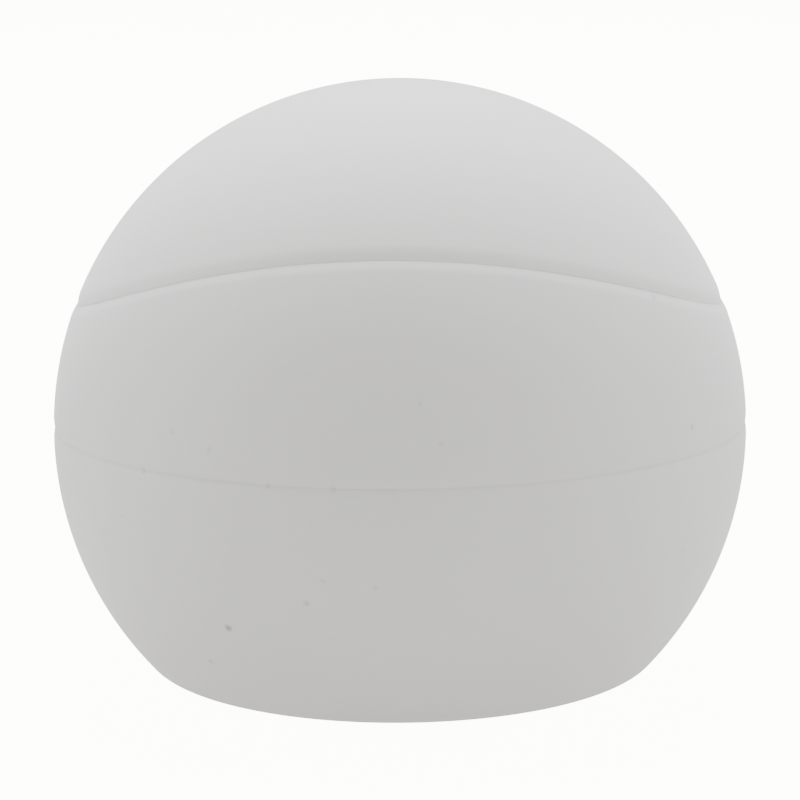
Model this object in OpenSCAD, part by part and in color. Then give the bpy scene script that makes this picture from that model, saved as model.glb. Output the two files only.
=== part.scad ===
// Ball-shaped pot with a twist-off lid.
// The origin is the centre of the face that it stands on, +Z is up, and the lid's parting line is
// highest towards -Y and +Y and lowest towards -X and +X.

/* [Ball] */
// Diameter of the ball
ball_d = 57.15; // [54:0.05:60]
// Height of the ball's centre above the surface that it stands on
centre_h = 19.8; // [19.6:0.1:20]
// Thickness of the outer shells
wall = 1.8; // [1.6:0.1:2]

/* [Lid parting line] */
// Radius of the lying cylinder that divides the lid from the body
seam_r = 58.2; // [57:0.2:62]
// Height of the parting line at the front and the back
seam_crest = 36.6; // [36.4:0.1:36.8]
// Gap between the lid and the body
seam_gap = 0.2; // [0.1:0.05:0.3]

/* [Body joint] */
// Height of the joint between the two body shells
joint_z = 20.5; // [20.1:0.1:20.7]
// Gap that shows at the joint
joint_gap = 0.1; // [0.05:0.05:0.2]
// Height of the tongue inside the joint
tongue_h = 2.1; // [1.6:0.1:2.2]
// Thickness of the tongue
tongue_t = 0.8; // [0.7:0.05:0.9]
// Underside of the deck in the upper shell
deck_z = 23; // [22.8:0.1:23.2]
// Thickness of the deck
deck_t = 1.2; // [1:0.1:1.4]

/* [Base] */
// How far the foot pad stands proud of the shell
foot_proud = 0.25; // [0.2:0.05:0.4]
// Depth of the recess that holds the foot pad
foot_recess = 0.5; // [0.4:0.1:0.6]
// Radius of the foot pad
foot_r = 19.4; // [18.5:0.1:19.6]
// Radius of the rounded rim round the base
rim_r = 1.7; // [1.2:0.1:2.2]
// Thickness of the lower shell's floor
floor_t = 2; // [1.8:0.1:2.2]

/* [Neck and cup] */
// Outer radius of the neck
neck_r = 18.1; // [17.9:0.05:18.2]
// Thickness of the neck
neck_t = 1.2; // [1.1:0.1:1.3]
// Underside of the neck's floor
neck_floor_z = 8; // [7.6:0.1:8.4]
// Height of the neck's top edge
neck_top = 34.2; // [34:0.1:34.3]
// Thickness of the inner cup
cup_t = 0.8; // [0.7:0.05:0.9]
// Radius of the flange that clamps the deck
flange_r = 20.3; // [19.6:0.1:20.4]

/* [Lid] */
// Thickness of the lid liner
liner_t = 1.1; // [1:0.05:1.15]
// Outer radius of the skirt
skirt_r = 19.9; // [19.8:0.05:19.95]
// Thickness of the skirt
skirt_t = 1.2; // [1.15:0.05:1.25]
// Lower edge of the skirt
skirt_z = 25.3; // [25.2:0.1:26]
// Radius of the seal disc
disc_r = 18.3; // [18.2:0.05:18.35]
// Underside of the seal disc
disc_z = 36; // [35.95:0.05:36.05]
// Thickness of the seal disc
disc_t = 1; // [0.9:0.05:1]

/* [Bayonet] */
// Rise of the lid for each radian that it is turned
rise_per_rad = 6.4; // [6.3:0.1:8]
// Height of the lugs' centres
lug_z = 31.5; // [30.5:0.1:32]
// Radius of a lug
lug_r = 0.9; // [0.7:0.05:1]
// Clearance between a lug and its slot
lug_gap = 0.3; // [0.25:0.05:0.4]

/* [Screws] */
// Distance of the screws from the ball's axis
screw_circle_r = 11; // [10:0.5:12]
// Radius of the screws' thread
screw_r = 1; // [0.9:0.05:1.1]
// Radius of the screws' heads
head_r = 2; // [1.8:0.1:2.1]
// Height of the screws' heads
head_h = 1.2; // [1:0.1:1.3]

/* [Hidden] */

$fn = 96;
smooth_fn = 240;

ball_r = ball_d / 2;
inner_r = ball_r - wall;
seam_axis_z = seam_crest - seam_r;

// Gap between glued or loosely fitted faces, how far joined shapes run into each other, and how far
// cuts run past what they cut
lap_gap = 0.1;
overlap = 0.1;
cut = 1;

// The lower shell's outline: the rim's arc runs from the ball to the flat base.
base_z = foot_proud;
floor_top = base_z + floor_t;
rim_z = base_z + rim_r;
rim_x = sqrt(pow(ball_r - rim_r, 2) - pow(centre_h - rim_z, 2));
rim_angle = atan2(centre_h - rim_z, rim_x);
tangent_z = rim_z - rim_r * sin(rim_angle);
rim_steps = 10;

// Shells and deck
tongue_r = inner_r + tongue_t;
joint_top = joint_z + tongue_h;
deck_top = deck_z + deck_t;
deck_gap = 0.3;
deck_hole_r = neck_r + deck_gap;

// Neck, flange and cup
flange_t = 0.8;
neck_bore_r = neck_r - neck_t;
neck_floor_t = 1.2;
cup_gap = 0.2;
cup_r = neck_bore_r - cup_gap;
cup_bore_r = cup_r - cup_t;
cup_floor_z = neck_floor_z + neck_floor_t + lap_gap;
cup_floor_t = 1;
cup_rim_r = neck_r - cup_gap;
cup_rim_h = 0.8;
cup_top = neck_top + cup_rim_h;
cup_corner = 1;

// Lid
liner_r = inner_r - lap_gap;
liner_bore_r = liner_r - liner_t;
liner_lift = 0.3;
skirt_bore_r = skirt_r - skirt_t;
skirt_top = 37.4;
bead_r = 17.75;
bead_z = cup_top + lug_gap;
bead_t = 0.5;
step_r = 17;
step_outer_r = 18.8;
step_t = 1.2;
step_z = disc_z + disc_t + lap_gap;
lug_reach = skirt_r - 0.5;
lug_count = 2;

// Cam slots: each is a sector of the skirt that climbs round it with the lid's own pitch.
slot_half_angle = 12.5;
slot_top = lug_z + lug_r + lug_gap;
slot_start = skirt_z - cut;
deg_per_mm = 180 / PI / rise_per_rad;
slot_in_r = neck_r + overlap;
slot_out_r = skirt_r + cut / 2;

// Seal ring
ring_in_r = 16.1;
ring_out_r = 17.5;
ring_gap = 0.05;
rib_r = ring_in_r - ring_gap;
rib_t = 0.45;
rib_h = 0.6;

// Screws
screw_count = 3;
screw_pad_r = 4.2;
screw_pad_top = floor_top + 1;
recess_top = base_z + foot_recess;
head_z = recess_top + lap_gap;
head_gap = 0.3;
shank_gap = 0.15;
root = 0.5;
boss_r = 2.6;
tip_h = 0.6;
tip_r = 0.2;
screw_tip = neck_floor_z + tip_h;
pilot_top = screw_tip + 0.2;

// The half disc of radius r about the ball's centre, from z_low to z_high
module half_disc(r, z_low, z_high) {
    intersection() {
        translate([0, centre_h])
            circle(r = r, $fn = smooth_fn);
        translate([0, z_low])
            square([ball_d, z_high - z_low]);
    }
}

// A ring's section between two radii and two heights
module ring_section(r_in, r_out, z_low, z_high) {
    translate([r_in, z_low])
        square([r_out - r_in, z_high - z_low]);
}

// The lying cylinder whose top divides the lid from the body
module seam_cylinder(offset) {
    translate([0, 0, seam_axis_z])
        rotate([90, 0, 0])
            cylinder(r = seam_r + offset, h = 2 * ball_d, center = true, $fn = smooth_fn);
}

// A dome that follows the ball and ends at the lid's parting line
module seam_dome(r_out, r_in, lift) {
    difference() {
        rotate_extrude($fn = smooth_fn)
            difference() {
                half_disc(r_out, joint_z, ball_d);
                half_disc(r_in, 0, ball_d);
            }
        seam_cylinder(lift);
    }
}

module at_screws() {
    for (i = [0 : screw_count - 1])
        rotate([0, 0, 90 + i * 360 / screw_count])
            translate([screw_circle_r, 0, 0])
                children();
}

module lid_shell() {
    color([0.87, 0.87, 0.85])
        seam_dome(ball_r, inner_r, seam_gap / 2);
}

module cam_slot() {
    translate([0, 0, slot_start])
        linear_extrude(height = slot_top - slot_start, twist = -(slot_top - slot_start) * deg_per_mm,
                       slices = 16, $fn = 4)
            rotate([0, 0, (slot_start - lug_z) * deg_per_mm])
                polygon([
                    for (side = [-1, 0, 1])
                        slot_out_r * [cos(side * slot_half_angle), sin(side * slot_half_angle)],
                    for (side = [1, 0, -1])
                        slot_in_r * [cos(side * slot_half_angle), sin(side * slot_half_angle)]
                ]);
}

module lid_liner() {
    color([0.92, 0.92, 0.9])
        difference() {
            union() {
                seam_dome(liner_r, liner_bore_r, seam_gap / 2 + liner_lift);
                rotate_extrude() {
                    ring_section(skirt_bore_r, skirt_r, skirt_z, skirt_top);
                    ring_section(bead_r, skirt_bore_r + overlap, bead_z, bead_z + bead_t);
                    ring_section(step_r, step_outer_r, step_z, step_z + step_t);
                }
            }
            for (i = [0 : lug_count - 1])
                rotate([0, 0, i * 360 / lug_count])
                    cam_slot();
        }
}

module seal_disc() {
    color([0.93, 0.93, 0.92])
        rotate_extrude() {
            ring_section(0, disc_r, disc_z, disc_z + disc_t);
            ring_section(rib_r - rib_t, rib_r, disc_z - rib_h, disc_z + overlap);
        }
}

module lid_seal() {
    lip = 0.4;
    ring_low = cup_top + ring_gap;
    color([0.75, 0.75, 0.74])
        rotate_extrude()
            polygon([
                [ring_in_r, disc_z],
                [ring_in_r, ring_low + lip],
                [ring_in_r + lip, ring_low],
                [ring_out_r - lip, ring_low],
                [ring_out_r, ring_low + lip],
                [ring_out_r, disc_z]
            ]);
}

module upper_shell() {
    color([0.86, 0.86, 0.84])
        intersection() {
            rotate_extrude($fn = smooth_fn) {
                difference() {
                    half_disc(ball_r, joint_z + joint_gap / 2, seam_crest + cut);
                    half_disc(inner_r, 0, ball_d);
                    ring_section(0, tongue_r + lap_gap, 0, joint_top);
                }
                ring_section(deck_hole_r, inner_r + overlap, deck_z, deck_top);
            }
            seam_cylinder(-seam_gap / 2);
        }
}

module lower_shell_section() {
    difference() {
        union() {
            half_disc(ball_r, tangent_z, joint_z - joint_gap / 2);
            polygon([
                [0, tangent_z],
                for (i = [0 : rim_steps])
                    let (a = rim_angle + (90 - rim_angle) * i / rim_steps)
                        [rim_x + rim_r * cos(a), rim_z - rim_r * sin(a)],
                [0, base_z]
            ]);
        }
        half_disc(inner_r, floor_top, ball_d);
        ring_section(0, foot_r + lap_gap, 0, recess_top);
    }
    ring_section(inner_r, tongue_r, joint_z - cut, joint_top);
}

module lower_shell() {
    color([0.84, 0.84, 0.82])
        difference() {
            union() {
                rotate_extrude($fn = smooth_fn)
                    lower_shell_section();
                at_screws()
                    translate([0, 0, floor_top - root])
                        cylinder(r = screw_pad_r, h = screw_pad_top - floor_top + root);
            }
            at_screws() {
                cylinder(r = head_r + head_gap, h = head_z + head_h);
                cylinder(r = screw_r + shank_gap, h = screw_pad_top + cut);
            }
        }
}

module neck() {
    color([0.92, 0.92, 0.9])
        difference() {
            union() {
                rotate_extrude() {
                    ring_section(neck_bore_r, neck_r, neck_floor_z, neck_top);
                    ring_section(0, neck_r, neck_floor_z, neck_floor_z + neck_floor_t);
                    ring_section(neck_bore_r, flange_r, deck_top, deck_top + flange_t);
                }
                for (i = [0 : lug_count - 1])
                    rotate([0, 0, i * 360 / lug_count])
                        translate([neck_r - neck_t / 2, 0, lug_z])
                            rotate([0, 90, 0])
                                cylinder(r = lug_r, h = lug_reach - neck_r + neck_t / 2);
                at_screws()
                    translate([0, 0, screw_pad_top])
                        cylinder(r = boss_r, h = neck_floor_z - screw_pad_top + root);
            }
            at_screws()
                cylinder(r = screw_r, h = pilot_top);
        }
}

module inner_cup() {
    floor_top_z = cup_floor_z + cup_floor_t;
    color([0.95, 0.95, 0.94])
        rotate_extrude()
            polygon([
                [0, cup_floor_z],
                [cup_r, cup_floor_z],
                [cup_r, neck_top],
                [cup_rim_r, neck_top],
                [cup_rim_r, cup_top],
                [cup_bore_r, cup_top],
                [cup_bore_r, floor_top_z + cup_corner],
                [cup_bore_r - cup_corner, floor_top_z],
                [0, floor_top_z]
            ]);
}

module base_screws() {
    cross_l = 2.2;
    cross_w = 0.5;
    cross_depth = 0.7;
    color([0.7, 0.7, 0.72])
        at_screws()
            difference() {
                union() {
                    translate([0, 0, head_z])
                        cylinder(r = head_r, h = head_h);
                    translate([0, 0, head_z + head_h - overlap])
                        cylinder(r = screw_r, h = screw_tip - tip_h - head_z - head_h + overlap);
                    translate([0, 0, screw_tip - tip_h])
                        cylinder(r1 = screw_r, r2 = tip_r, h = tip_h);
                }
                for (a = [0, 90])
                    rotate([0, 0, a])
                        translate([-cross_l / 2, -cross_w / 2, head_z - cut])
                            cube([cross_l, cross_w, cross_depth + cut]);
            }
}

module foot_pad() {
    edge = 0.25;
    color([0.6, 0.6, 0.57])
        rotate_extrude()
            polygon([
                [0, 0],
                [foot_r - edge, 0],
                [foot_r, edge],
                [foot_r, recess_top],
                [0, recess_top]
            ]);
}

lid_shell();
lid_liner();
seal_disc();
lid_seal();
upper_shell();
lower_shell();
neck();
inner_cup();
base_screws();
foot_pad();
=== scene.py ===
"""Looks of the ball-shaped pot: its soft-touch shells and its inner parts, around the CAD frame."""

import math

import bpy
import numpy as np
from mathutils import Euler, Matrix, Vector

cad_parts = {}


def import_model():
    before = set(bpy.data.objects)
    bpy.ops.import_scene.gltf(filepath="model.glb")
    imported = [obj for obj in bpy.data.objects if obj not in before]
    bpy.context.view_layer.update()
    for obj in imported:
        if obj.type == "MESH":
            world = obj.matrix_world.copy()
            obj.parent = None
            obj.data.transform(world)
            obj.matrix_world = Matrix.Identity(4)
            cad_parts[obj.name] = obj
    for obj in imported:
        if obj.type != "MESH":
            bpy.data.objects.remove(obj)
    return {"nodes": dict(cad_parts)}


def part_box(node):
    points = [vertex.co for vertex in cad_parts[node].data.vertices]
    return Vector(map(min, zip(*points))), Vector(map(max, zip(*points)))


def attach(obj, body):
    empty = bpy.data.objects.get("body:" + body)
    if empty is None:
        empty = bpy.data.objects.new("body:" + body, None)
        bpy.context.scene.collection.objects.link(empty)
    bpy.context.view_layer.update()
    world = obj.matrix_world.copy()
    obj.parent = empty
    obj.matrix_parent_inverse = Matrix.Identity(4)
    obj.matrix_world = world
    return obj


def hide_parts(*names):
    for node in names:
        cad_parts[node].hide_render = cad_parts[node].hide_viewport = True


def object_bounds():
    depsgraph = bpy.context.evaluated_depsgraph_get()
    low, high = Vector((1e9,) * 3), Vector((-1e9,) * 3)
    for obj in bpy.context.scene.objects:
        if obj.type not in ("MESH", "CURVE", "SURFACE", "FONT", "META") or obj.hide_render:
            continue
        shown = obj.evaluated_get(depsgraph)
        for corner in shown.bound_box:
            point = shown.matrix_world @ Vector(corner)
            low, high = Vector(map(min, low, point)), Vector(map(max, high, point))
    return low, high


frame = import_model()
cad_low, cad_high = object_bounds()

MM = 0.001

# ---------------------------------------------------------------- sizes
lower_low, lower_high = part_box("lower_shell")
neck_low, neck_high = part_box("neck")
cup_low, cup_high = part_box("inner_cup")
disc_low, disc_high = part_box("seal_disc")
seal_low, seal_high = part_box("lid_seal")
screw_low, screw_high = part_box("base_screws")
liner_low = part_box("lid_liner")[0]
foot_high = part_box("foot_pad")[1]

# Gap between glued or loosely fitted faces, how far joined shapes run into each other, and how far
# cuts run past what they cut
LAP_GAP = 0.1 * MM
ROOT = 0.5 * MM
CUT = 1 * MM

# The ball and the lid's parting line, which lies on a cylinder along Y
BALL_R = (cad_high.x - cad_low.x) / 2
CENTRE_Z = cad_high.z - BALL_R
WALL = 1.8 * MM
INNER_R = BALL_R - WALL
SEAM_R = 58.2 * MM
SEAM_CREST = 36.6 * MM
SEAM_GAP = 0.012 * MM

# The joint between the body's shells, with the tongue and the deck inside it
JOINT_Z = 20.5 * MM
JOINT_GAP = 0.005 * MM
TONGUE_TOP = lower_high.z
TONGUE_T = 0.8 * MM
TONGUE_R = INNER_R + TONGUE_T
DECK_Z = 23 * MM
DECK_TOP = 24.2 * MM
DECK_HOLE_R = 18.4 * MM

# The base
BASE_Z = lower_low.z
FLOOR_T = 2 * MM
FLOOR_TOP = BASE_Z + FLOOR_T
RIM_R = 1.7 * MM
FOOT_R = foot_high.x
FOOT_TOP = foot_high.z

# The screws, the pads in the lower shell that they pass through, and the bosses that hold them
SCREW_COUNT = 3
SCREW_CIRCLE = 11 * MM
SCREW_R = 1 * MM
SCREW_PAD_TOP = neck_low.z
SCREW_PAD_R = 4.2 * MM
HEAD_BORE_R = 2.3 * MM
HEAD_BORE_TOP = screw_low.z + 1.2 * MM
SHANK_BORE_R = 1.15 * MM
BOSS_R = 2.6 * MM
PILOT_TOP = screw_high.z + 0.2 * MM

# The neck and its lugs, and the cup
NECK_R = 18.1 * MM
NECK_BORE_R = 16.9 * MM
NECK_TOP = neck_high.z
NECK_FLOOR_Z = 8 * MM
NECK_FLOOR_TOP = 9.2 * MM
FLANGE_R = 20.3 * MM
FLANGE_TOP = 25 * MM
LUG_Z = 31.5 * MM
LUG_R = 0.9 * MM
LUG_START = 17.5 * MM
LUG_REACH = 19.4 * MM
CUP_R = 16.7 * MM
CUP_BORE_R = 15.9 * MM
CUP_RIM_R = cup_high.x
CUP_FLOOR_T = 1 * MM
CUP_FLOOR = cup_low.z + CUP_FLOOR_T
CUP_CORNER = 1 * MM

# The lid's liner, and its skirt with the step above the disc and the bead that holds it from below
LINER_R = INNER_R - LAP_GAP
LINER_T = 1.1 * MM
LINER_BORE_R = LINER_R - LINER_T
LINER_LIFT = 0.4 * MM
SKIRT_R = 19.9 * MM
SKIRT_BORE_R = 18.7 * MM
SKIRT_Z = liner_low.z
SKIRT_TOP = 37.4 * MM
STEP_R = 17 * MM
STEP_OUTER_R = 18.8 * MM
STEP_Z = 37.1 * MM
STEP_TOP = 38.3 * MM
BEAD_R = 17.75 * MM
BEAD_Z = 35.3 * MM
BEAD_TOP = 35.8 * MM
SLOT_GAP = 0.35 * MM
RISE_PER_RADIAN = 6.4 * MM

# The disc's rib and the ring round it
RIB_IN_R = 15.6 * MM
RIB_R = 16.05 * MM
RIB_H = 0.6 * MM
SEAL_BORE_R = 16.1 * MM

# Width and depth of the soft shoulders on both sides of the lid's parting line, and of the shallow
# ones along the body's joint, and how round the skin is where two of them meet
LID_SHOULDER = (1.3 * MM, 0.23 * MM)
BAND_SHOULDER = (1 * MM, 0.16 * MM)
JOINT_SHOULDER = (1 * MM, 0.13 * MM)
CREASE_ROUND = 0.2 * MM
HAIRLINE_ROUND = 0.08 * MM

# Mesh columns round the shells and round the other pieces, and sides of a short bar
COLUMNS = 288
FEW_COLUMNS = 160
ROD_SIDES = 40
# How far the fine rows along an edge reach, in shoulder widths
FINE_REACH = 1.2
# Steeper edges than these look sharp, on the shells and the neck and on the slotted liner
SHARP_ANGLE = math.radians(40)
SLOT_SHARP_ANGLE = math.radians(35)


# ---------------------------------------------------------------- meshes
def new_object(name, vertices, faces):
    mesh = bpy.data.meshes.new(name)
    mesh.from_pydata([tuple(v) for v in vertices], [], faces)
    mesh.validate()
    mesh.shade_smooth()
    piece = bpy.data.objects.new(name, mesh)
    bpy.context.scene.collection.objects.link(piece)
    return piece


def combine(piece, other, operation):
    """Adds another object's solid to this one's, or cuts it away, and deletes the other object."""
    modifier = piece.modifiers.new("combine", "BOOLEAN")
    modifier.object = other
    modifier.operation = operation
    modifier.solver = "EXACT"
    bpy.context.view_layer.update()
    graph = bpy.context.evaluated_depsgraph_get()
    mesh = bpy.data.meshes.new_from_object(piece.evaluated_get(graph))
    piece.modifiers.clear()
    piece.data = mesh
    bpy.data.objects.remove(other)


def round_azimuths(columns):
    return np.linspace(0, 2 * math.pi, columns, endpoint=False)


def sweep(name, radii, heights, closed):
    """A skin through one profile a column. A profile that isn't closed ends on the axis."""
    columns, rows = radii.shape
    azimuths = round_azimuths(columns)[:, None]
    points = np.stack([radii * np.cos(azimuths), radii * np.sin(azimuths), heights], axis=-1)
    first, last = (0, rows) if closed else (1, rows - 1)
    kept = last - first
    vertices = list(points[:, first:last].reshape(-1, 3))
    faces = []
    for i in range(columns):
        here, there = i * kept, ((i + 1) % columns) * kept
        for j in range(kept if closed else kept - 1):
            k = (j + 1) % kept
            faces.append((here + j, here + k, there + k, there + j))
    if not closed:
        for row, edge in ((0, 0), (rows - 1, kept - 1)):
            vertices.append((0.0, 0.0, float(heights[0, row])))
            pole = len(vertices) - 1
            for i in range(columns):
                here, there = i * kept + edge, ((i + 1) % columns) * kept + edge
                faces.append((pole, here, there) if row == 0 else (pole, there, here))
    return new_object(name, vertices, faces)


def rounded(corners, radius, closed):
    """A profile whose corners are small curves, each with a support point on both sides."""
    largest_share = 0.4
    support_share = 0.2
    steps = 4
    corners = [np.array(c, float) for c in corners]
    count = len(corners)
    points = []
    for i, corner in enumerate(corners):
        if not closed and i in (0, count - 1):
            points.append(corner)
            continue
        before = corners[i - 1] - corner
        after = corners[(i + 1) % count] - corner
        before_length = np.linalg.norm(before)
        after_length = np.linalg.norm(after)
        reach = min(radius, largest_share * before_length, largest_share * after_length)
        start = corner + before / before_length * reach
        stop = corner + after / after_length * reach
        points.append(start + (start - corner) * support_share)
        for t in np.linspace(0, 1, steps + 1):
            points.append((1 - t) ** 2 * start + 2 * t * (1 - t) * corner + t * t * stop)
        points.append(stop + (stop - corner) * support_share)
    return points


def to_columns(pairs, columns=COLUMNS):
    """A fixed profile, repeated for every column."""
    pairs = np.asarray(pairs, float)
    return np.tile(pairs[:, 0], (columns, 1)), np.tile(pairs[:, 1], (columns, 1))


def turned(name, corners, corner_round, closed):
    """A round piece with softened corners."""
    return sweep(name, *to_columns(rounded(corners, corner_round, closed), FEW_COLUMNS), closed)


def rod(name, radius, length, end_round, place, along_x=False):
    """A short round bar with softened ends, from place along +Z, or outwards along +X."""
    corners = [(0, 0), (radius, 0), (radius, length), (0, length)]
    bar = sweep(name, *to_columns(rounded(corners, end_round, False), ROD_SIDES), False)
    for vertex in bar.data.vertices:
        x, y, z = vertex.co
        if along_x:
            x, z = z, -x
        vertex.co = (place[0] + x, place[1] + y, place[2] + z)
    return bar


def seam_polar(radius, offset, columns=COLUMNS):
    """The angle from straight up where a sphere of this radius meets the lid's parting surface."""
    radius = np.asarray(radius, float)
    azimuths = round_azimuths(columns)[:, None]
    lift = CENTRE_Z - (SEAM_CREST - SEAM_R)
    a = np.sin(azimuths) ** 2
    b = 2 * lift
    c = lift**2 + (radius * np.cos(azimuths)) ** 2 - (SEAM_R + offset) ** 2
    height = -2 * c / (b + np.sqrt(b * b - 4 * a * c))
    return np.arccos(height / radius)


def sunk(distance, shoulder, rounding):
    """How far the skin lies under the ball at this distance from an edge with a soft shoulder."""
    width, depth = shoulder
    softened = np.sqrt(distance**2 + rounding**2)
    return depth * np.clip(1 - softened / width, 0, 1) ** 2


def on_sphere(radius, polar):
    """Radii from the axis and heights of points at these radii and polar angles."""
    return radius * np.sin(polar), CENTRE_Z + radius * np.cos(polar)


def joined(*parts):
    return np.hstack([p[0] for p in parts]), np.hstack([p[1] for p in parts])


def crowded(count):
    """Steps from 0 to 1 that crowd towards 1."""
    crowding = 1.5
    return 1 - (1 - np.linspace(0, 1, count)) ** crowding


def ridge(start, width, flank, base, height):
    """Profile points of a low ridge, or of a shallow groove, with sloping flanks."""
    return [(start, base), (start + flank, base + height), (start + width - flank, base + height),
            (start + width, base)]


def stand_for(piece, body, *nodes):
    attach(piece, body)
    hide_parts(*nodes)
    return piece


def lid_shell():
    crease_r = BALL_R - sunk(0, LID_SHOULDER, CREASE_ROUND)
    edge = seam_polar([crease_r], SEAM_GAP)
    near = FINE_REACH * LID_SHOULDER[0] / BALL_R
    dome = (edge - near) * np.linspace(0, 1, 80)[None, :-1]
    lip = edge - near * (1 - crowded(36)[None, :])
    polar = np.hstack([dome, lip])
    outside = on_sphere(BALL_R - sunk((edge - polar) * BALL_R, LID_SHOULDER, CREASE_ROUND), polar)
    depths = np.linspace(crease_r, INNER_R, 8)[1:]
    face = on_sphere(depths[None, :], seam_polar(depths, SEAM_GAP))
    inner_edge = seam_polar([INNER_R], SEAM_GAP)
    inside = on_sphere(INNER_R, inner_edge * (1 - np.linspace(0, 1, 40)[None, 1:]))
    return stand_for(sweep("lid_shell_skin", *joined(outside, face, inside), False), "lid", "lid_shell")


def upper_shell():
    crease_r = BALL_R - sunk(0, BAND_SHOULDER, CREASE_ROUND)
    top = seam_polar([crease_r], -SEAM_GAP)
    joint_r = BALL_R - sunk(0, JOINT_SHOULDER, HAIRLINE_ROUND)
    joint = math.acos((JOINT_Z + JOINT_GAP - CENTRE_Z) / joint_r)
    near = FINE_REACH * BAND_SHOULDER[0] / BALL_R
    low = FINE_REACH * JOINT_SHOULDER[0] / BALL_R
    lip = top + near * (1 - crowded(32)[None, ::-1])
    side = top + near + (joint - low - top - near) * np.linspace(0, 1, 40)[None, 1:-1]
    hem = np.tile(joint - low * (1 - crowded(24)), (COLUMNS, 1))
    polar = np.hstack([lip, side, hem])
    depth = sunk((polar - top) * BALL_R, BAND_SHOULDER, CREASE_ROUND)
    depth += sunk((joint - polar) * BALL_R, JOINT_SHOULDER, HAIRLINE_ROUND)
    outside = on_sphere(BALL_R - depth, polar)
    wall_r = {z: math.sqrt(INNER_R**2 - (z - CENTRE_Z) ** 2) for z in (TONGUE_TOP, DECK_Z, DECK_TOP)}
    lap_r = TONGUE_R + LAP_GAP
    ledge = to_columns([
        (lap_r, JOINT_Z + JOINT_GAP),
        (lap_r, TONGUE_TOP),
        (wall_r[TONGUE_TOP], TONGUE_TOP),
        (wall_r[DECK_Z], DECK_Z),
        (DECK_HOLE_R, DECK_Z),
        (DECK_HOLE_R, DECK_TOP),
        (wall_r[DECK_TOP], DECK_TOP),
    ])
    start = math.acos((DECK_TOP - CENTRE_Z) / INNER_R)
    inner_edge = seam_polar([INNER_R], -SEAM_GAP)
    inside = on_sphere(INNER_R, start + (inner_edge - start) * np.linspace(0, 1, 24)[None, 1:])
    depths = np.linspace(INNER_R, crease_r, 8)[1:-1]
    face = on_sphere(depths[None, :], seam_polar(depths, -SEAM_GAP))
    skin = sweep("upper_shell_skin", *joined(outside, ledge, inside, face), True)
    return stand_for(skin, "body", "upper_shell")


def screw_places():
    for i in range(SCREW_COUNT):
        a = math.radians(90 + 360 / SCREW_COUNT * i)
        yield SCREW_CIRCLE * math.cos(a), SCREW_CIRCLE * math.sin(a)


def lower_shell():
    joint_r = BALL_R - sunk(0, JOINT_SHOULDER, HAIRLINE_ROUND)
    joint = math.acos((JOINT_Z - JOINT_GAP - CENTRE_Z) / joint_r)
    rim_z = BASE_Z + RIM_R
    rim_x = math.sqrt((BALL_R - RIM_R) ** 2 - (CENTRE_Z - rim_z) ** 2)
    rim_angle = math.atan2(CENTRE_Z - rim_z, rim_x)
    tangent = math.pi / 2 + rim_angle
    low = FINE_REACH * JOINT_SHOULDER[0] / BALL_R
    hem = joint + low * (1 - crowded(24)[::-1])
    side = np.linspace(joint + low, tangent, 60)[1:]
    polar = np.hstack([hem, side])
    depth = sunk((polar - joint) * BALL_R, JOINT_SHOULDER, HAIRLINE_ROUND)
    outside = list(zip(*on_sphere(BALL_R - depth, polar)))
    for angle in np.linspace(rim_angle, math.pi / 2, 16)[1:]:
        outside.append((rim_x + RIM_R * math.cos(angle), rim_z - RIM_R * math.sin(angle)))
    recess_r = FOOT_R + LAP_GAP
    underside = [(recess_r, BASE_Z), (recess_r, FOOT_TOP), (0, FOOT_TOP)]
    start = math.acos((FLOOR_TOP - CENTRE_Z) / INNER_R)
    stop = math.acos((JOINT_Z - CENTRE_Z) / INNER_R)
    bowl = list(zip(*on_sphere(INNER_R, np.linspace(start, stop, 30))))
    tongue = [(INNER_R, TONGUE_TOP), (TONGUE_R, TONGUE_TOP), (TONGUE_R, JOINT_Z - JOINT_GAP)]
    profile = [(0, FLOOR_TOP)] + bowl + tongue + outside + underside
    skin = sweep("lower_shell_skin", *to_columns(profile[::-1]), False)
    for x, y in screw_places():
        pad = rod("pad", SCREW_PAD_R, SCREW_PAD_TOP - FLOOR_TOP + ROOT, end_round=0.2 * MM,
                  place=(x, y, FLOOR_TOP - ROOT))
        combine(skin, pad, "UNION")
        for radius, top in ((HEAD_BORE_R, HEAD_BORE_TOP), (SHANK_BORE_R, SCREW_PAD_TOP + CUT)):
            bore = rod("bore", radius, top, end_round=0.05 * MM, place=(x, y, 0))
            combine(skin, bore, "DIFFERENCE")
    skin.data.set_sharp_from_angle(angle=SHARP_ANGLE)
    return stand_for(skin, "body", "lower_shell")


def neck():
    tube = turned("neck_skin", [
        (0, NECK_FLOOR_Z), (NECK_R, NECK_FLOOR_Z), (NECK_R, DECK_TOP), (FLANGE_R, DECK_TOP),
        (FLANGE_R, FLANGE_TOP), (NECK_R, FLANGE_TOP), (NECK_R, NECK_TOP), (NECK_BORE_R, NECK_TOP),
        (NECK_BORE_R, NECK_FLOOR_TOP), (0, NECK_FLOOR_TOP),
    ], corner_round=0.2 * MM, closed=False)
    for side in (1, -1):
        lug = rod("lug", LUG_R, LUG_REACH - LUG_START, end_round=0.25 * MM,
                  place=(LUG_START, 0, LUG_Z), along_x=True)
        for vertex in lug.data.vertices:
            vertex.co = (side * vertex.co.x, side * vertex.co.y, vertex.co.z)
        combine(tube, lug, "UNION")
    for x, y in screw_places():
        boss = rod("boss", BOSS_R, NECK_FLOOR_Z - SCREW_PAD_TOP + ROOT, end_round=0.1 * MM,
                   place=(x, y, SCREW_PAD_TOP))
        combine(tube, boss, "UNION")
        pilot = rod("pilot", SCREW_R, PILOT_TOP, end_round=0.05 * MM, place=(x, y, 0))
        combine(tube, pilot, "DIFFERENCE")
    tube.data.set_sharp_from_angle(angle=SHARP_ANGLE)
    return stand_for(tube, "body", "neck")


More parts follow.
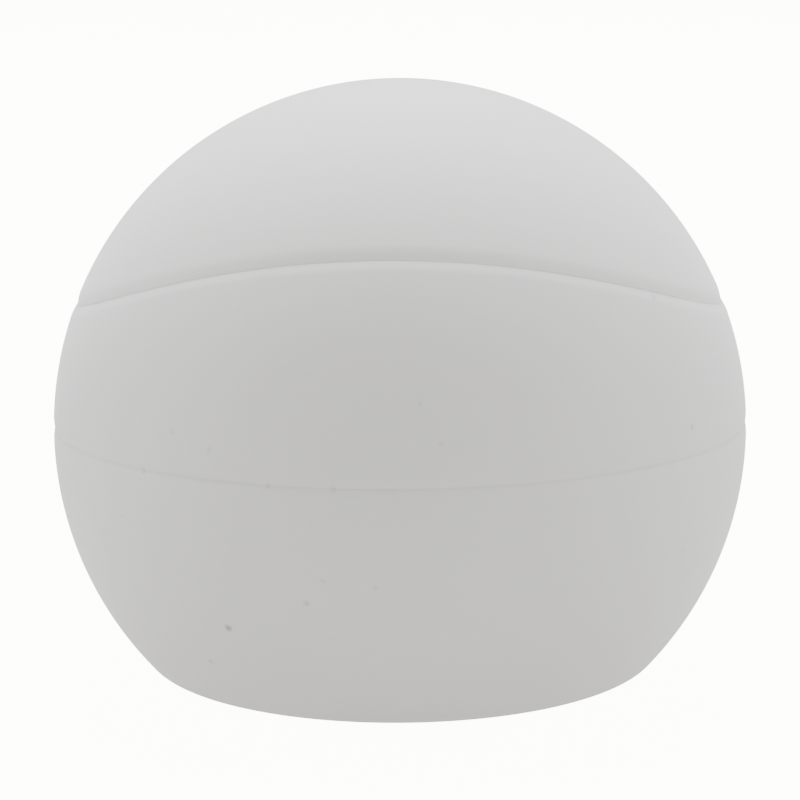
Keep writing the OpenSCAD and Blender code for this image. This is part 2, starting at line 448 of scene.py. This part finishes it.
def inner_cup():
    """The cup, with the small mark that its moulding gate leaves in the middle of the floor."""
    gate_r = 0.9 * MM
    gate_top = CUP_FLOOR + 0.12 * MM
    cup = turned("inner_cup_skin", [
        (0, cup_low.z), (CUP_R, cup_low.z), (CUP_R, NECK_TOP), (CUP_RIM_R, NECK_TOP),
        (CUP_RIM_R, cup_high.z), (CUP_BORE_R, cup_high.z), (CUP_BORE_R, CUP_FLOOR + CUP_CORNER),
        (CUP_BORE_R - CUP_CORNER, CUP_FLOOR), (gate_r, CUP_FLOOR), (gate_r, gate_top), (0, gate_top),
    ], corner_round=0.3 * MM, closed=False)
    return stand_for(cup, "body", "inner_cup")


def seal_disc():
    """The disc, with the rib that centres the seal and two low beads that stiffen it."""
    under = disc_low.z + RIB_H
    corners = [(0, under)]
    for bead_r in (4 * MM, 9 * MM):
        corners += ridge(bead_r, width=0.8 * MM, flank=0.2 * MM, base=under, height=-0.18 * MM)
    corners += [(RIB_IN_R, under), (RIB_IN_R, disc_low.z), (RIB_R, disc_low.z), (RIB_R, under),
                (disc_high.x, under), (disc_high.x, disc_high.z), (0, disc_high.z)]
    disc = turned("seal_disc_skin", corners, corner_round=0.15 * MM, closed=False)
    return stand_for(disc, "seal", "seal_disc")


def lid_seal():
    """The ring, which narrows towards its lower edge."""
    slant = 0.4 * MM
    outer_r = seal_high.x
    corners = [
        (SEAL_BORE_R, seal_high.z), (SEAL_BORE_R, seal_low.z + slant), (SEAL_BORE_R + slant, seal_low.z),
        (outer_r - slant, seal_low.z), (outer_r, seal_low.z + slant), (outer_r, seal_high.z),
    ]
    ring = turned("lid_seal_skin", corners, corner_round=0.3 * MM, closed=True)
    return stand_for(ring, "seal", "lid_seal")


def cam_slot(turn):
    """One of the skirt's climbing slots: round at its closed end, open at the skirt's lower edge."""
    past_edge = 2.5 * MM
    in_r = NECK_R + LAP_GAP
    out_r = SKIRT_R + 0.6 * MM
    half = LUG_R + SLOT_GAP
    middle_r = (SKIRT_R + SKIRT_BORE_R) / 2
    slope = math.atan2(RISE_PER_RADIAN, middle_r)
    along = np.array([-math.cos(slope), -math.sin(slope)])
    across = np.array([-along[1], along[0]])
    length = (LUG_Z - SKIRT_Z + past_edge) / math.sin(slope)
    steps = np.linspace(0, length, 40)
    bend = np.linspace(0, math.pi, 24)[1:-1]
    outline = [across * half + along * s for s in steps[::-1]]
    outline += [half * (across * math.cos(a) - along * math.sin(a)) for a in bend]
    outline += [-across * half + along * s for s in steps]
    vertices = []
    for radius in (in_r, out_r):
        for u, v in outline:
            a = turn + u / middle_r
            vertices.append((radius * math.cos(a), radius * math.sin(a), LUG_Z + v))
    count = len(outline)
    faces = [(i, (i + 1) % count, count + (i + 1) % count, count + i) for i in range(count)]
    last = count - 1
    for i in range(count // 2 - 1):
        quad = (i, i + 1, last - i - 1, last - i)
        faces.append(tuple(reversed(quad)))
        faces.append(tuple(count + k for k in quad))
    return new_object("slot", vertices, faces)


def lid_liner():
    edge = seam_polar([LINER_R], LINER_LIFT, FEW_COLUMNS)
    outside = on_sphere(LINER_R, edge * np.linspace(0, 1, 48)[None, :])
    inner_edge = seam_polar([LINER_BORE_R], LINER_LIFT, FEW_COLUMNS)
    inside = on_sphere(LINER_BORE_R, inner_edge * (1 - np.linspace(0, 1, 48)[None, :]))
    liner = sweep("lid_liner_skin", *joined(outside, inside), False)
    skirt = turned("skirt", [
        (SKIRT_BORE_R, SKIRT_Z), (SKIRT_R, SKIRT_Z), (SKIRT_R, SKIRT_TOP), (STEP_OUTER_R, SKIRT_TOP),
        (STEP_OUTER_R, STEP_TOP), (STEP_R, STEP_TOP), (STEP_R, STEP_Z), (SKIRT_BORE_R, STEP_Z),
        (SKIRT_BORE_R, BEAD_TOP), (BEAD_R, BEAD_TOP), (BEAD_R, BEAD_Z), (SKIRT_BORE_R, BEAD_Z),
    ], corner_round=0.2 * MM, closed=True)
    combine(liner, skirt, "UNION")
    for turn in (0, math.pi):
        combine(liner, cam_slot(turn), "DIFFERENCE")
    liner.data.set_sharp_from_angle(angle=SLOT_SHARP_ANGLE)
    return stand_for(liner, "lid", "lid_liner")


def foot_pad():
    """The pad, with shallow rings in its underside that keep it from sliding."""
    first_r, last_r, pitch = 4, 18, 2.5
    corners = [(0, 0)]
    for ring_r in np.arange(first_r, last_r, pitch) * MM:
        corners += ridge(ring_r, width=0.5 * MM, flank=0.1 * MM, base=0, height=0.12 * MM)
    corners += [(FOOT_R, 0), (FOOT_R, FOOT_TOP), (0, FOOT_TOP)]
    pad = turned("foot_pad_skin", corners, corner_round=0.12 * MM, closed=False)
    return stand_for(pad, "body", "foot_pad")


# ---------------------------------------------------------------- materials
class Nodes:
    """Short ways to add to a node tree."""

    def __init__(self, tree):
        self.tree = tree

    def feed(self, socket, value):
        if isinstance(value, bpy.types.NodeSocket):
            self.tree.links.new(value, socket)
        else:
            socket.default_value = value

    def math(self, operation, *values):
        node = self.tree.nodes.new("ShaderNodeMath")
        node.operation = operation
        for socket, value in zip(node.inputs, values):
            self.feed(socket, value)
        return node.outputs[0]

    def ramp(self, value, from_low, from_high, to_low, to_high):
        """The value, carried over from one range to another and held inside that."""
        node = self.tree.nodes.new("ShaderNodeMapRange")
        for socket, number in zip(node.inputs, (value, from_low, from_high, to_low, to_high)):
            self.feed(socket, number)
        return node.outputs[0]

    def mix(self, factor, first, second):
        node = self.tree.nodes.new("ShaderNodeMix")
        node.data_type = "RGBA"
        self.feed(node.inputs["Factor"], factor)
        self.feed(node.inputs["A"], first)
        self.feed(node.inputs["B"], second)
        return node.outputs["Result"]


class Look(Nodes):
    """A material's nodes, with its Principled shader and object coordinates in metres."""

    def __init__(self, name):
        self.material = bpy.data.materials.new(name)
        self.material.use_nodes = True
        super().__init__(self.material.node_tree)
        self.shader = self.tree.nodes["Principled BSDF"]
        self.place = self.tree.nodes.new("ShaderNodeTexCoord").outputs["Object"]

    def paint(self, socket, value):
        self.feed(self.shader.inputs[socket], value)

    def coordinates(self):
        node = self.tree.nodes.new("ShaderNodeSeparateXYZ")
        self.feed(node.inputs[0], self.place)
        return node.outputs

    def distance_to(self, place):
        node = self.tree.nodes.new("ShaderNodeVectorMath")
        node.operation = "DISTANCE"
        self.feed(node.inputs[0], self.place)
        self.feed(node.inputs[1], place)
        return node.outputs["Value"]

    def noise(self, size, detail=2.0, roughness=0.5):
        """Noise from 0 to 1 with lumps of this size in metres."""
        node = self.tree.nodes.new("ShaderNodeTexNoise")
        self.feed(node.inputs["Vector"], self.place)
        node.inputs["Scale"].default_value = 1 / size
        node.inputs["Detail"].default_value = detail
        node.inputs["Roughness"].default_value = roughness
        return node.outputs[0]

    def cells(self, size):
        """Distance to the nearest of scattered points, in metres, and a random number for that point."""
        node = self.tree.nodes.new("ShaderNodeTexVoronoi")
        self.feed(node.inputs["Vector"], self.place)
        node.inputs["Scale"].default_value = 1 / size
        parts = self.tree.nodes.new("ShaderNodeSeparateColor")
        self.feed(parts.inputs[0], node.outputs["Color"])
        return self.math("MULTIPLY", node.outputs["Distance"], size), parts.outputs[0]

    def bump(self, height, distance):
        node = self.tree.nodes.new("ShaderNodeBump")
        node.inputs["Distance"].default_value = distance
        self.feed(node.inputs["Height"], height)
        self.paint("Normal", node.outputs[0])


SHELL_WARM = (0.69, 0.688, 0.675, 1)
SHELL_COOL = (0.705, 0.704, 0.694, 1)
SHELL_GRAIN = (0.66, 0.66, 0.65, 1)
DUST_AND_SHADE_TINT = (0.26, 0.25, 0.23, 1)
INNER_WHITE = (0.8, 0.8, 0.785)
CUP_WHITE = (0.84, 0.84, 0.835)
SEAL_GREY = (0.62, 0.62, 0.61)
FOOT_GREY = (0.4, 0.39, 0.35)
ZINC_DARK = (0.5, 0.51, 0.53, 1)
ZINC_LIGHT = (0.72, 0.72, 0.74, 1)

# How far the painted shade along each line reaches, and its darkness
HAIRLINE_PAINTED_SHADE = (0.28 * MM, 0.09)
CREASE_PAINTED_SHADE = (0.3 * MM, 0.11)

# Grains of dust: radius in mm and darkness. PITS lie along the hairline at these azimuths, and
# SPECKS at these azimuths and latitudes, all in degrees.
FAINT = (0.17, 0.22)
CLEAR = (0.18, 0.45)
DARK = (0.22, 0.9)
JOINT_LATITUDE = math.degrees(math.asin((JOINT_Z - CENTRE_Z) / BALL_R))
PITS = ((-41, CLEAR), (-18, CLEAR), (-8, CLEAR), (1, FAINT), (58, FAINT))
SPECKS = (
    (-28, -23, DARK), (-35, -31, CLEAR), (-13, -17, CLEAR), (-10, -13, FAINT), (-2, -14, FAINT),
    (54, -14, FAINT), (54, 6, CLEAR), (8, 8, FAINT), (-35, 8, FAINT), (-28, 6, FAINT),
    (5, 14, FAINT), (52, 27, CLEAR),
)


def on_ball(azimuth, latitude):
    a, b = math.radians(azimuth), math.radians(latitude)
    flat = BALL_R * math.cos(b)
    return flat * math.sin(a), -flat * math.cos(a), CENTRE_Z + BALL_R * math.sin(b)


def painted_line_shade(look):
    """Painted shade: a faint darkening along the body's hairline and the lid's groove, from 0 to its
    darkness.
    """
    x, y, z = look.coordinates()
    off_joint = look.math("ABSOLUTE", look.math("SUBTRACT", z, JOINT_Z))
    above_axis = look.math("SUBTRACT", z, SEAM_CREST - SEAM_R)
    square = look.math("MULTIPLY_ADD", x, x, look.math("MULTIPLY", above_axis, above_axis))
    off_seam = look.math("ABSOLUTE", look.math("SUBTRACT", look.math("SQRT", square), SEAM_R))
    # Painted shade: darker bands along the hairline and the groove, where the gaps fall into shade.
    hairline = look.ramp(off_joint, 0, *HAIRLINE_PAINTED_SHADE, 0)
    crease = look.ramp(off_seam, 0, *CREASE_PAINTED_SHADE, 0)
    patches = look.ramp(look.noise(5 * MM), 0.35, 0.65, 0.6, 1.2)
    return look.math("MULTIPLY", look.math("MAXIMUM", hairline, crease), patches)


def placed_specks(look):
    """The darkness of the pits and the specks that have places of their own, with ragged edges."""
    ragged = look.ramp(look.noise(0.15 * MM), 0.2, 0.8, -0.8, 0.8)
    pits = [(azimuth, JOINT_LATITUDE, grade) for azimuth, grade in PITS]
    darkest = 0.0
    for azimuth, latitude, (radius, darkness) in pits + list(SPECKS):
        away = look.math("DIVIDE", look.distance_to(on_ball(azimuth, latitude)), radius * MM)
        speck = look.ramp(look.math("ADD", away, ragged), 0.2, 1.8, darkness, 0)
        darkest = look.math("MAXIMUM", darkest, speck)
    return darkest


def scattered_dust(look):
    """The darkness of the fine dust all over: a grain in one of every four cells."""
    spacing = 5 * MM
    grain_r = 0.1 * MM
    core_r = 0.06 * MM
    share = 0.25
    darkness = 0.35
    away, chance = look.cells(spacing)
    grain = look.math("MULTIPLY", look.ramp(away, core_r, grain_r, 1, 0),
                      look.math("GREATER_THAN", chance, 1 - share))
    return look.math("MULTIPLY", grain, darkness)


def soft_touch():
    """The shells' matt coating: sheen, slow changes of tone, fine grain, dust, and painted shade along the
    hairline and the groove.
    """
    look = Look("soft_touch_white")
    look.paint("Specular IOR Level", 0.5)
    look.paint("Sheen Weight", 0.35)
    look.paint("Sheen Roughness", 0.5)

    specks = look.math("MAXIMUM", placed_specks(look), scattered_dust(look))
    # The painted shade along the hairline and the groove joins the dust specks here, and both take the
    # dark tint.
    marks = look.math("MAXIMUM", specks, painted_line_shade(look))
    cloud = look.ramp(look.noise(14 * MM, 3), 0.3, 0.7, 0, 1)
    grain = look.noise(0.25 * MM, 3)
    body = look.mix(cloud, SHELL_WARM, SHELL_COOL)
    body = look.mix(look.ramp(grain, 0.2, 0.8, 0, 0.5), body, SHELL_GRAIN)
    look.paint("Base Color", look.mix(marks, body, DUST_AND_SHADE_TINT))
    look.paint("Roughness", look.ramp(cloud, 0, 1, 0.7, 0.8))
    look.bump(look.math("SUBTRACT", look.math("MULTIPLY", grain, 0.3), specks), 0.03 * MM)
    return look.material


def moulded(name, color, roughness):
    """Plain moulded plastic: slightly uneven gloss and tone, and the fine texture of the tool."""
    look = Look(name)
    dull = tuple(0.96 * c for c in color)
    cloud = look.ramp(look.noise(9 * MM, 3), 0.3, 0.7, 0, 1)
    look.paint("Base Color", look.mix(cloud, (*dull, 1), (*color, 1)))
    look.paint("Roughness", look.ramp(look.noise(3 * MM, 4), 0.3, 0.7, roughness - 0.05, roughness + 0.07))
    look.bump(look.noise(0.3 * MM, 4), 0.006 * MM)
    return look.material


def silicone(name, color, roughness):
    """Soft rubber: dusty, matt and slightly mottled."""
    look = Look(name)
    dust = look.ramp(look.noise(0.5 * MM, 5, 0.7), 0.45, 0.75, 0, 0.5)
    pale = tuple(1.18 * c for c in color)
    look.paint("Base Color", look.mix(dust, (*color, 1), (*pale, 1)))
    look.paint("Roughness", look.ramp(dust, 0, 0.5, roughness, roughness + 0.15))
    look.paint("Specular IOR Level", 0.4)
    look.bump(look.noise(0.2 * MM, 3), 0.01 * MM)
    return look.material


def plated_steel():
    """Zinc-plated screws with the fine random marks of rolling."""
    look = Look("plated_steel")
    look.paint("Metallic", 1)
    look.paint("Base Color", look.mix(look.noise(1.2 * MM, 4), ZINC_DARK, ZINC_LIGHT))
    look.paint("Roughness", look.ramp(look.noise(0.4 * MM, 4), 0.3, 0.7, 0.25, 0.42))
    look.bump(look.noise(0.15 * MM, 3), 0.005 * MM)
    return look.material


def dress(piece, material):
    piece.data.materials.clear()
    piece.data.materials.append(material)


# ---------------------------------------------------------------- stage
# How strongly the white surroundings glow where the camera sees them, how strongly they light the
# object, and how much more the floor glows next to it, from one distance to the other
GLOW = 12
AMBIENT = 0.63
FLOOR_NEAR = 0.25
NEAR_FROM, NEAR_TO = 22 * MM, 34 * MM
FLOOR_SIZE = 6
FLOOR_GREY = (0.4, 0.4, 0.4, 1)
WARM = (1, 0.98, 0.925)
COOL = (0.985, 0.995, 1.03)


def surroundings(nodes, near=0):
    """The strength of the white surroundings: GLOW where the camera sees them, AMBIENT as a light."""
    path = nodes.tree.nodes.new("ShaderNodeLightPath")
    light = nodes.math("ADD", AMBIENT, near)
    return nodes.math("MULTIPLY_ADD", path.outputs["Is Camera Ray"], GLOW, light)


def floor():
    bpy.ops.mesh.primitive_plane_add(size=FLOOR_SIZE)
    plane = bpy.context.object
    plane.name = "floor"
    look = Look("floor_white")
    look.paint("Base Color", FLOOR_GREY)
    look.paint("Roughness", 0.9)
    look.paint("Specular IOR Level", 0.1)
    look.paint("Emission Color", (*WARM, 1))
    near = look.ramp(look.distance_to((0, 0, 0)), NEAR_FROM, NEAR_TO, FLOOR_NEAR, 0)
    look.paint("Emission Strength", surroundings(look, near))
    plane.data.materials.append(look.material)


# Place, diameter and power of each soft light
LIGHTS = {
    "overhead": ((0, -0.05, 0.9), 0.8, 3.2),
    "back": ((0, 0.5, 0.9), 0.6, 17),
    "left": ((-0.8, 0.2, 0.8), 0.8, 10.5),
    "right": ((0.8, 0.2, 0.8), 0.8, 10.5),
}


def lights():
    target = Vector((0, 0, CENTRE_Z))
    for name, (place, size, power) in LIGHTS.items():
        light = bpy.data.lights.new(name, "AREA")
        light.shape = "DISK"
        light.size = size
        light.energy = power
        light.color = COOL
        lamp = bpy.data.objects.new(name, light)
        lamp.location = place
        lamp.rotation_euler = (target - Vector(place)).to_track_quat("-Z", "Y").to_euler()
        bpy.context.scene.collection.objects.link(lamp)


def world():
    sky = bpy.data.worlds.new("studio")
    sky.use_nodes = True
    nodes = Nodes(sky.node_tree)
    back = sky.node_tree.nodes["Background"]
    nodes.feed(back.inputs["Color"], (*WARM, 1))
    nodes.feed(back.inputs["Strength"], surroundings(nodes))
    bpy.context.scene.world = sky


CAMERA_DISTANCE = 8 * BALL_R
CAMERA_ELEVATION = math.radians(11.1)
CAMERA_AZIMUTH = math.radians(2)
CAMERA_ROLL = math.radians(-0.5)
CAMERA_LENS = 123.7
CAMERA_SENSOR = 36
CAMERA_SHIFT = 0.03


def camera():
    data = bpy.data.cameras.new("camera")
    data.lens = CAMERA_LENS
    data.sensor_width = CAMERA_SENSOR
    data.shift_y = CAMERA_SHIFT
    data.clip_start = 0.01
    eye = bpy.data.objects.new("camera", data)
    target = Vector((0, 0, CENTRE_Z))
    away = Vector((0, -math.cos(CAMERA_ELEVATION), math.sin(CAMERA_ELEVATION)))
    away.rotate(Euler((0, 0, CAMERA_AZIMUTH)))
    eye.location = target + away * CAMERA_DISTANCE
    roll = Euler((0, 0, CAMERA_ROLL)).to_quaternion()
    eye.rotation_euler = ((-away).to_track_quat("-Z", "Y") @ roll).to_euler()
    bpy.context.scene.collection.objects.link(eye)
    bpy.context.scene.camera = eye


def build():
    shell_look = soft_touch()
    for piece in (lid_shell(), upper_shell(), lower_shell()):
        dress(piece, shell_look)
    inner_look = moulded("inner_plastic", INNER_WHITE, roughness=0.38)
    for piece in (lid_liner(), neck(), seal_disc()):
        dress(piece, inner_look)
    dress(inner_cup(), moulded("cup_plastic", CUP_WHITE, roughness=0.2))
    dress(lid_seal(), silicone("seal_rubber", SEAL_GREY, roughness=0.45))
    dress(foot_pad(), silicone("foot_rubber", FOOT_GREY, roughness=0.7))
    dress(frame["nodes"]["base_screws"], plated_steel())


build()
floor()
lights()
world()
camera()
